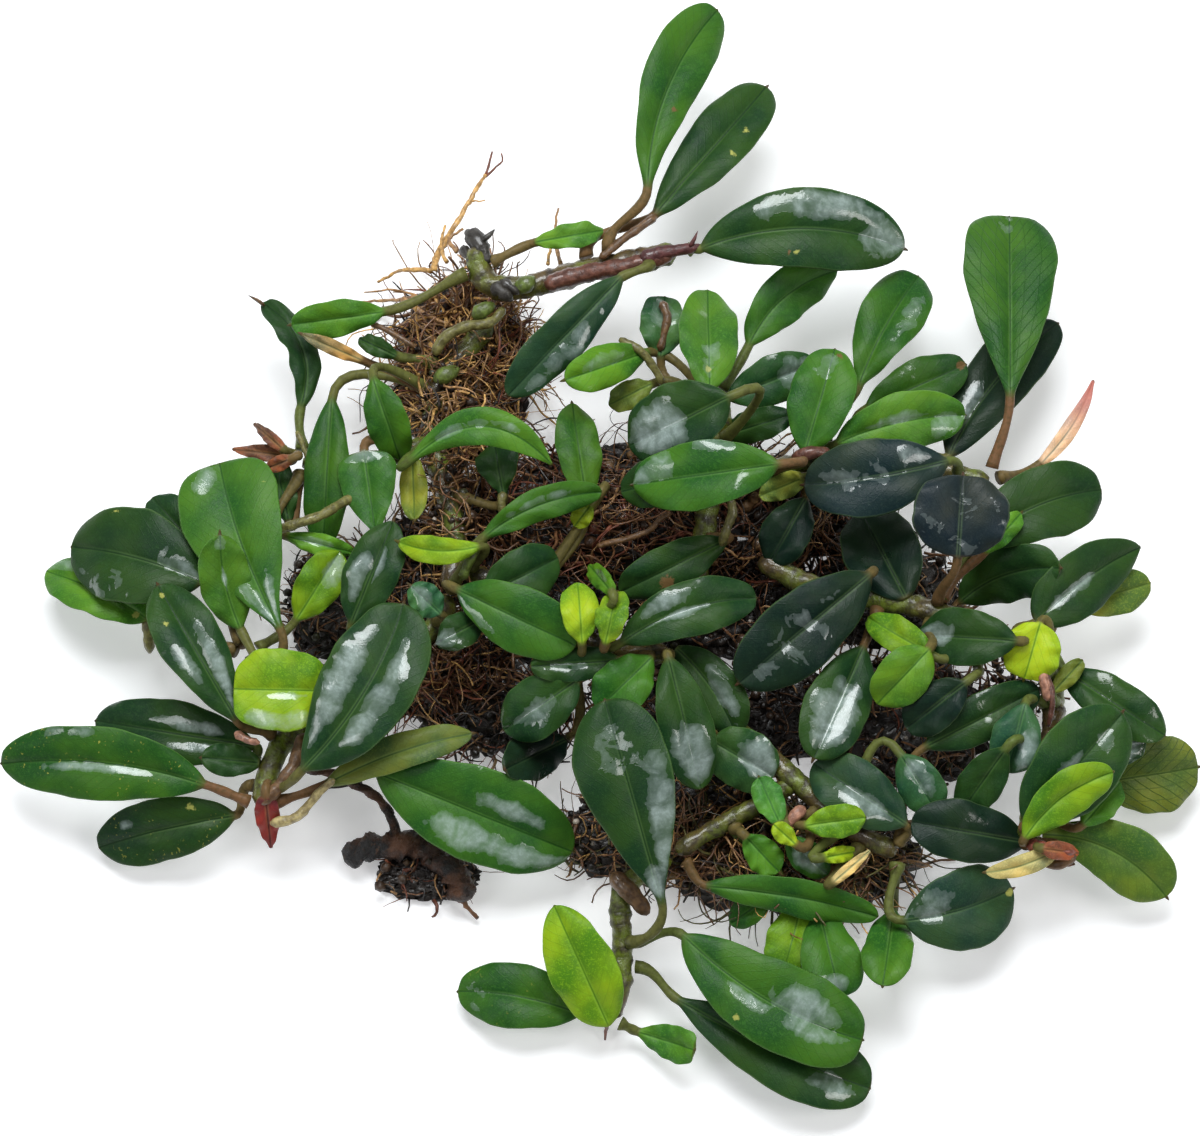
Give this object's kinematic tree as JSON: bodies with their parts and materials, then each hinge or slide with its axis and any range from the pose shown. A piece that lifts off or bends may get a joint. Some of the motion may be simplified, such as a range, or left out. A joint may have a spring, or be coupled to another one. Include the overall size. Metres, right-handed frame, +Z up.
{
  "type": "bucephalandra plant clump",
  "caption": "Loose clump of a creeping water plant: forking rhizomes over mats of brown roots, with small wet leathery stalked leaves spread all round.",
  "frame": {"origin": "under the middle of the clump, on the surface that it lies on", "axes": "+X to the right as seen from the front, +Y to the back, +Z up"},
  "size_m": [0.1494, 0.1412, 0.0256],
  "materials": {
    "leaf": "wet leathery leaf, dark to lime green, with a pale midrib",
    "rhizome": "wet green to olive stem, ringed, with red-brown sheaths",
    "root": "brown fibrous roots, wet",
    "dead": "black to brown rotted stem, wet and rough"
  },
  "bodies": {
    "root": {"rhizome_top": "rhizome", "rhizome_neck": "rhizome", "rhizome_west": "rhizome", "rhizome_middle": "rhizome", "rhizome_east": "rhizome", "rhizome_far_east": "rhizome", "rhizome_south": "rhizome", "rhizome_bottom": "rhizome", "dead_rhizome": "dead", "root_mass_upper": "root", "root_mass_middle": "root", "root_mass_west": "root", "root_mass_south": "root", "leaf_left_2": "leaf", "leaf_front_5": "leaf", "leaf_right_6": "leaf", "leaf_left_11": "leaf", "leaf_left_10": "leaf", "leaf_front_2": "leaf", "leaf_top_2": "leaf", "leaf_top_6": "leaf", "leaf_top_23": "leaf", "leaf_right_5": "leaf", "leaf_right_4": "leaf", "leaf_right_3": "leaf", "leaf_left_1": "leaf", "leaf_left_9": "leaf", "leaf_upper_left_2": "leaf", "leaf_upper_left_1": "leaf", "leaf_left_3": "leaf", "leaf_left_6": "leaf", "leaf_left_7": "leaf", "leaf_centre_5": "leaf", "leaf_left_13": "leaf", "leaf_left_8": "leaf", "leaf_front_6": "leaf", "leaf_front_1": "leaf", "leaf_front_4": "leaf", "leaf_front_7": "leaf", "leaf_right_7": "leaf", "leaf_top_5": "leaf", "leaf_top_1": "leaf", "leaf_top_3": "leaf", "leaf_top_11": "leaf", "leaf_top_7": "leaf", "leaf_top_22": "leaf", "leaf_top_25": "leaf", "leaf_top_8": "leaf", "leaf_top_15": "leaf", "leaf_right_2": "leaf", "leaf_top_16": "leaf", "leaf_top_20": "leaf", "leaf_top_18": "leaf", "leaf_top_19": "leaf", "leaf_centre_2": "leaf", "leaf_centre_4": "leaf", "leaf_centre_3": "leaf", "leaf_centre_1": "leaf", "leaf_upper_left_3": "leaf", "leaf_centre_6": "leaf"}
  },
  "joints": []
}
